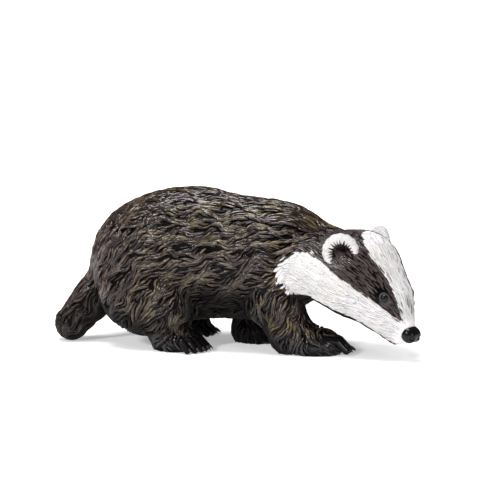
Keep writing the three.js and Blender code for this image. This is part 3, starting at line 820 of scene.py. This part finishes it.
def lockTree():
    # points that carry a lock's number, place along it, girth and way out become closed tapered ridges
    tree = bpy.data.node_groups.new("locks", "GeometryNodeTree")
    face = tree.interface
    face.new_socket("Points", in_out="INPUT", socket_type="NodeSocketGeometry")
    for name, kind, value in (("Sides", "NodeSocketInt", 7), ("Half Width", "NodeSocketFloat", 0.0005),
                              ("Height", "NodeSocketFloat", 0.0005), ("Sunk", "NodeSocketFloat", 0.0002),
                              ("Patch", "NodeSocketFloat", 0.003)):
        face.new_socket(name, in_out="INPUT", socket_type=kind).default_value = value
    face.new_socket("Paint", in_out="INPUT", socket_type="NodeSocketMaterial")
    face.new_socket("Mesh", in_out="OUTPUT", socket_type="NodeSocketGeometry")
    given = tree.nodes.new("NodeGroupInput")
    result = tree.nodes.new("NodeGroupOutput")

    def add(kind, settings=None, **inputs):
        made = tree.nodes.new(kind)
        for name, value in (settings or {}).items():
            setattr(made, name, value)
        for name, value in inputs.items():
            socket = made.inputs[int(name[1:]) if name[1:].isdigit() else name.replace("_", " ")]
            if isinstance(value, bpy.types.NodeSocket):
                tree.links.new(value, socket)
            else:
                socket.default_value = value
        return made.outputs

    def recall(name, kind="FLOAT"):
        return add("GeometryNodeInputNamedAttribute", {"data_type": kind}, Name=name)["Attribute"]

    def store(geometry, name, value, kind="FLOAT", domain="POINT"):
        settings = {"data_type": kind, "domain": domain}
        return add("GeometryNodeStoreNamedAttribute", settings, Geometry=geometry, Name=name,
                   Value=value)["Geometry"]

    def arithmetic(operation, first, second):
        return add("ShaderNodeMath", {"operation": operation}, i0=first, i1=second)[0]

    # the section: a flattened round, lower half shallow
    ring = add("GeometryNodeCurveArc", {"mode": "RADIUS"}, Resolution=given.outputs["Sides"], Radius=1.0,
               Start_Angle=-math.pi, Sweep_Angle=2 * math.pi)["Curve"]
    spot = add("ShaderNodeSeparateXYZ", None, Vector=add("GeometryNodeInputPosition")[0])
    over = arithmetic("MAXIMUM", spot["X"], 0.0)
    under = arithmetic("MINIMUM", spot["X"], 0.0)
    rise = arithmetic("ADD", arithmetic("MULTIPLY", over, given.outputs["Height"]),
                      arithmetic("MULTIPLY", under, given.outputs["Sunk"]))
    across = arithmetic("MULTIPLY", spot["Y"], given.outputs["Half Width"])
    around = add("GeometryNodeSplineParameter")["Factor"]
    ring = store(ring, "profile", over)
    ring = store(ring, "around", around)
    section = add("ShaderNodeCombineXYZ", None, X=rise, Y=across, Z=0.0)[0]
    ring = add("GeometryNodeSetPosition", None, Geometry=ring, Position=section)["Geometry"]

    points = add("GeometryNodeMeshToPoints", None, Mesh=given.outputs["Points"])["Points"]
    lines = add("GeometryNodePointsToCurves", None, Points=points, Curve_Group_ID=recall("lock", "INT"),
                Weight=recall("along"))[0]
    lines = add("GeometryNodeSetCurveNormal", {"mode": "FREE"}, Curve=lines,
                Normal=recall("out", "FLOAT_VECTOR"))["Curve"]
    solid = add("GeometryNodeCurveToMesh", None, Curve=lines, Profile_Curve=ring,
                Scale=recall("girth"))["Mesh"]
    # each lock has its own patch on the flat sheet, at its root's place
    patch = add("ShaderNodeCombineXYZ", None, X=recall("along"), Y=recall("around"), Z=0.0)[0]
    patch = add("ShaderNodeVectorMath", {"operation": "SCALE"}, i0=patch, Scale=given.outputs["Patch"])[0]
    root = recall("sheet", "FLOAT_VECTOR")
    patch = add("ShaderNodeVectorMath", {"operation": "ADD"}, i0=patch, i1=root)[0]
    solid = store(solid, "OFBake", patch, "FLOAT2", "CORNER")
    solid = store(solid, "crest", arithmetic("MULTIPLY", recall("profile"), recall("girth")))
    solid = add("GeometryNodeMergeByDistance", None, Geometry=solid, Distance=1e-7)["Geometry"]
    solid = add("GeometryNodeSetShadeSmooth", None, Geometry=solid)["Geometry"]
    solid = add("GeometryNodeRealizeInstances", None, Geometry=solid)["Geometry"]
    solid = add("GeometryNodeSetMaterial", None, Geometry=solid, Material=given.outputs["Paint"])["Geometry"]
    tree.links.new(solid, result.inputs["Mesh"])
    return tree


def growLocks(name, tree, kind, roots, out, draw, mass=skinDistance, lie=lieAt, whiteness=whiteAt):
    # one mesh of locks from their roots, with the numbers that the coat's paint reads
    sizes = draw.uniform(0.65, 1.3, len(roots))
    lines, outs = walk(roots, kind, sizes, mass, lie)
    steps = locks["steps"]
    along = np.tile(np.linspace(0, 1, steps + 1), (len(roots), 1))
    girth = np.sin(math.pi * along ** 0.75) ** 0.7 * sizes[:, None]
    girth[:, [0, -1]] = 0
    lines = lines + outs * (kind["lift"] * along ** 1.5)[:, :, None]
    mesh = bpy.data.meshes.new(name + "_lines")
    mesh.from_pydata(toFrame(lines).reshape(-1, 3), [], [])
    writeNumbers(mesh, "along", along.ravel())
    writeNumbers(mesh, "girth", girth.ravel())
    writeNumbers(mesh, "out", outs.reshape(-1, 3))
    sheet = np.repeat(unwrapAt(roots), steps + 1, axis=0)
    writeNumbers(mesh, "sheet", np.column_stack([sheet, np.zeros(len(sheet))]))
    layer = mesh.attributes.new("lock", "INT", "POINT")
    layer.data.foreach_set("value", np.repeat(np.arange(len(roots)), steps + 1).astype(np.int32))
    carrier = addObject(name + "_lines", mesh)
    modifier = carrier.modifiers.new("locks", "NODES")
    modifier.node_group = tree
    sockets = {item.name: item.identifier for item in tree.interface.items_tree if item.in_out == "INPUT"}
    modifier[sockets["Sides"]] = locks["sides"]
    modifier[sockets["Half Width"]] = kind["halfWidth"] * toMetres
    modifier[sockets["Height"]] = kind["height"] * toMetres
    modifier[sockets["Sunk"]] = kind["height"] * locks["sunk"] * toMetres
    modifier[sockets["Paint"]] = coatMaterial
    graph = bpy.context.evaluated_depsgraph_get()
    grown = bpy.data.meshes.new_from_object(carrier.evaluated_get(graph), preserve_all_data_layers=True,
                                            depsgraph=graph)
    bpy.data.objects.remove(carrier)
    grown.name = name
    piece = addObject(name, grown)
    crest = readNumbers(grown, "crest", np.float32)
    owner = readNumbers(grown, "lock", np.int32)
    stray = draw.normal(0, kind["stray"], len(roots))
    places = pointsOf(grown)
    places[:, 2] = np.maximum(places[:, 2], justOffFloor)
    grown.vertices.foreach_set("co", toFrame(places).ravel())
    onCrown = (np.abs(headPlace(roots)[:, 1]) < 7) & (headPlace(roots)[:, 2] > 2)
    brush = draw.random(len(roots)) * np.where(onCrown, 1.0, 0.935)
    dress(grown, places, out[owner], crest, brush[owner], whiteness(places) + stray[owner])
    print(name, len(roots), "locks", sum(len(p.vertices) - 2 for p in grown.polygons), "triangles")
    return piece


tree = lockTree()
draw = np.random.default_rng(locks["seed"])
onFace = headShare(skinPoints) > 0.5
footed = np.min([leg["footMass"](skinPoints) for leg in legs.values()], axis=0)
toed = np.min([leg["foreFoot"](skinPoints) for leg in legs.values()], axis=0)
clearOf = locks["clearOf"]
clear = (skinPoints[:, 2] > clearOf["floor"]) & (toed > clearOf["toes"])
clear &= (toEyes(skinPoints) > clearOf["eyes"]) & (headPlace(skinPoints)[:, 0] < locks["noseFrom"])

# The coat's pieces: a lock goes to the first piece of its kind that its root belongs to
partings = {"back": 31, "backRear": -14, "sideRear": -10, "middle": -1}  # one up, two forward, one left
regions = {
    "body": [
        ("back_front", lambda p: (p[:, 2] > partings["back"]) & (p[:, 0] > partings["backRear"])),
        ("back_rear", lambda p: p[:, 2] > partings["back"]),
        ("side_right", lambda p: (p[:, 1] < partings["middle"]) & (p[:, 0] > partings["sideRear"])),
        ("rear_right", lambda p: p[:, 1] < partings["middle"]),
        ("side_left", lambda p: p[:, 0] > partings["sideRear"]),
        ("rear_left", lambda p: p[:, 0] <= partings["sideRear"]),
    ],
    "face": [
        ("head_right", lambda p: headPlace(p)[:, 1] < 0),
        ("head_left", lambda p: headPlace(p)[:, 1] >= 0),
    ],
    "foot": [("feet", lambda p: p[:, 2] >= 0)],
}
coatPieces = []
onFoot = footed <= 0.8
masks = {"body": ~onFace & ~onFoot, "face": onFace, "foot": ~onFace & onFoot}
for kindName, mask in masks.items():
    kind = locks[kindName]
    points, out = skinPoints[mask & clear], skinOut[mask & clear]
    kept = rootsOver(points, out, kind, locks["seed"])
    roots, rootOut = points[kept], out[kept]
    left = np.ones(len(roots), bool)
    for region, belongs in regions[kindName]:
        mine = left & belongs(roots)
        left &= ~mine
        coatPieces.append(growLocks("coat_" + region, tree, kind, roots[mine], rootOut[mine], draw))

# Ears: a thick rolled rim round a hollow, open forwards
ears = {
    "spots": {"right": [0.5, -8.4, 7.2], "left": [-0.1, 8.6, 6.3]},  # forward, left and up on the head
    "ringRadius": 3.7,
    "rim": [1.4, 0.6],  # radius of the rim at its top and at its ends
    "halfSpan": 136,  # degrees that the rim goes round to each side
    "cell": 0.2,
}


def earParts(side):
    # the ear's place and turn; columns are towards the gap in its rim, across and outwards
    sign = -1 if side == "right" else 1
    out = unit(np.array([0.4, sign * 0.86, 0.32]))
    way = np.array([0.87, 0, -0.49])
    way = unit(way - out * (way @ out))
    turn = headTurn @ np.stack([way, np.cross(out, way), out], 1)
    return onHead(*ears["spots"][side]), turn


def earMass(side):
    at, turn = earParts(side)
    angles = np.radians(np.linspace(-ears["halfSpan"], ears["halfSpan"], 13))
    ring = [at + turn @ np.array([-math.cos(a), math.sin(a), 0.25]) * ears["ringRadius"] for a in angles]
    thick, thin = ears["rim"]
    radii = [thin + (thick - thin) * math.cos(a / 2.2) ** 1.5 for a in angles]
    rim = blend(0.05, *[limb(*bend) for bend in zip(ring, ring[1:], radii, radii[1:])])
    dish = ovoid(at + turn @ np.array([0.2, 0, -0.9]), [4.4, 3.9, 1.3], turn)
    return blend(0.8, rim, dish)


def earCoat(side):
    # the ear's own lie, from the middle of the hollow out over the rim, and its own white
    at, turn = earParts(side)

    def lie(points, out):
        local = (points - at) @ turn
        way = (local * [1, 1, 0.2]) @ turn.T
        way = way - out * (way * out).sum(1)[:, None]
        return unit(way + 0.25 * ripple(points, 1.5, 21)[:, None] * np.cross(out, way))

    def whiteness(points):
        local = (points - at) @ turn
        angle = np.arctan2(local[:, 1], -local[:, 0])
        strokes = np.abs(np.sin(angle * 11 + 0.6 * np.sin(angle * 5))) ** 4
        rimmed = np.hypot(local[:, 0], local[:, 1]) - 2.3 - 1.3 * strokes
        spare = ears["halfSpan"] - 8 - np.degrees(np.abs(angle))
        return np.clip(np.minimum(np.where(local[:, 2] > -1.4, rimmed, 1.0), spare * 0.06), -2, 2)
    return lie, whiteness


for side in ("right", "left"):
    mass = earMass(side)
    at, turn = earParts(side)
    points, faces = polygonise(mass, at - 6.5, at + 6.5, ears["cell"])
    points, out = settle(mass, points)
    cup = meshFrom("ear_cup_" + side, points, faces, coatMaterial)
    lie, whiteness = earCoat(side)
    dress(cup.data, points, out, 0.1, 0.3, whiteness(points))
    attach(cup, "root")
    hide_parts("ear_" + side)
    above = skinDistance(points) > 0.1
    points, out = points[above], out[above]
    kept = rootsOver(points, out, locks["ear"], locks["seed"], lie)
    roots, rootOut = points[kept], out[kept]
    grown = growLocks("coat_ear_" + side, tree, locks["ear"], roots, rootOut, draw, mass, lie, whiteness)
    coatPieces.append(grown)

# Claws: short blunt cones at the tips of the toes
clawMaterial = paintPlain("claw_paint", colour(30, 27, 26), 0.3)
clawPoints, clawFaces = [], []
for leg in legs.values():
    turn = turned(yaw=leg["foot"][2])
    for _, _, tip in toePlaces(leg["foot"]):
        base = len(clawPoints)
        rings, around = 5, 10
        for ring in range(rings):
            t = ring / (rings - 1)
            radius = toes["clawRadius"] * (1 - 0.8 * t)
            centre = np.array([0.6 + toes["clawLength"] * t, 0, 0.3 - 0.75 * t * t])
            for i in range(around):
                a = 2 * math.pi * i / around
                clawPoints.append(tip + turn @ (centre + [0, radius * math.cos(a), radius * math.sin(a)]))
        for ring in range(rings - 1):
            for i in range(around):
                a, b = base + ring * around + i, base + ring * around + (i + 1) % around
                clawFaces.append([a, b, b + around, a + around])
        clawFaces.append([base + i for i in range(around)][::-1])
        clawFaces.append([base + (rings - 1) * around + i for i in range(around)])
clawPoints = np.array(clawPoints)
clawPoints[:, 2] = np.maximum(clawPoints[:, 2], justOffFloor)
claws = meshFrom("claws", clawPoints, clawFaces, clawMaterial)
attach(claws, "root")
print("claws", len(legs) * toes["count"])

fleshNodes = ["torso", "neck", "head", "tail"] + ["leg_" + name for name in legs]
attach(skinPiece, "root")
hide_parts(*fleshNodes)
for piece in coatPieces:
    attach(piece, "root")

# Floor, light and camera, in metres and degrees, but lookRight and lookUp in millimetres
studio = {
    "azimuth": 15.0,
    "elevation": 10.0,
    "distance": 2.0,
    "frameWidth": 0.13333,  # what the picture's width shows at that distance
    "lookRight": 2.67,
    "lookUp": 25.2,
    "floorRadius": 3.0,
    "glowFrom": 0.03,  # painted light: the paper glows, brighter away from the figure
    "glowTo": 0.3,
    "glowNear": (0.36, 0.36, 0.36, 1),
    "glowFar": (0.85, 0.85, 0.85, 1),
    "worldStrength": 0.16,
}
lights = {
    "top_light": {"at": (-0.1, -0.05, 0.7), "size": 0.35, "power": 5.8},
    "key_light": {"at": (-0.4, -0.75, 0.5), "size": 0.14, "power": 5.0},
    "fill_light": {"at": (0.8, -0.6, 0.35), "size": 0.25, "power": 2.4},
}
floorMaterial = paintPlain("glowing_floor_paper", (0.92, 0.92, 0.93, 1.0), 0.7, grain=0.0)
paperTree = floorMaterial.node_tree
paperShader = paperTree.nodes["Principled BSDF"]
paper = Wire(paperTree, paperTree.nodes["Material Output"].inputs[0])
paperPlace = paper.node("ShaderNodeTexCoord", out="Object")
outwards = paper.node("ShaderNodeVectorMath", {"operation": "LENGTH"}, {0: paperPlace}, out="Value")
# painted light: the floor glows, weakly near the figure so that its shadows stay dark, and brightly away
# from it
glow = outwards.between(studio["glowFrom"], studio["glowTo"]).mix(studio["glowNear"], studio["glowFar"])
plug(glow, paperShader.inputs["Emission Color"])
paperShader.inputs["Emission Strength"].default_value = 1.0
sides = 96
angles = [2 * math.pi * i / sides for i in range(sides)]
floorPlaces = studio["floorRadius"] * np.array([[math.cos(a), math.sin(a), 0] for a in angles])
floor = meshFrom("floor", fromFrame(floorPlaces), [list(range(sides))], floorMaterial)

azimuth, elevation = math.radians(studio["azimuth"]), math.radians(studio["elevation"])
right = np.array([math.cos(azimuth), math.sin(azimuth), 0])
upward = np.array([-math.sin(azimuth) * math.sin(elevation), math.cos(azimuth) * math.sin(elevation),
                   math.cos(elevation)])
towards = np.array([math.sin(azimuth) * math.cos(elevation), -math.cos(azimuth) * math.cos(elevation),
                    math.sin(elevation)])
target = toFrame(right * studio["lookRight"] + upward * studio["lookUp"])
lens = bpy.data.cameras.new("camera")
lens.sensor_width = 36.0
lens.lens = lens.sensor_width * studio["distance"] / studio["frameWidth"]
lens.clip_end = 20.0
camera = addObject("camera", lens)
camera.location = target + towards * studio["distance"]
camera.rotation_euler = Matrix(np.stack([right, upward, towards], 1).tolist()).to_euler()
bpy.context.scene.camera = camera

for name, light in lights.items():
    softbox = bpy.data.lights.new(name, "AREA")
    softbox.shape = "DISK"
    softbox.size = light["size"]
    softbox.energy = light["power"]
    lamp = addObject(name, softbox)
    lamp.location = light["at"]
    lamp.rotation_euler = Vector(light["at"]).to_track_quat("Z", "Y").to_euler()
world = bpy.data.worlds.new("studio")
world.use_nodes = True
background = world.node_tree.nodes["Background"].inputs
background["Color"].default_value = (1.0, 1.0, 1.0, 1.0)
background["Strength"].default_value = studio["worldStrength"]
bpy.context.scene.world = world
bpy.context.scene.view_settings.view_transform = "Standard"
print("studio with", len(lights), "lights")

print("done", len(coatPieces), "coat pieces")
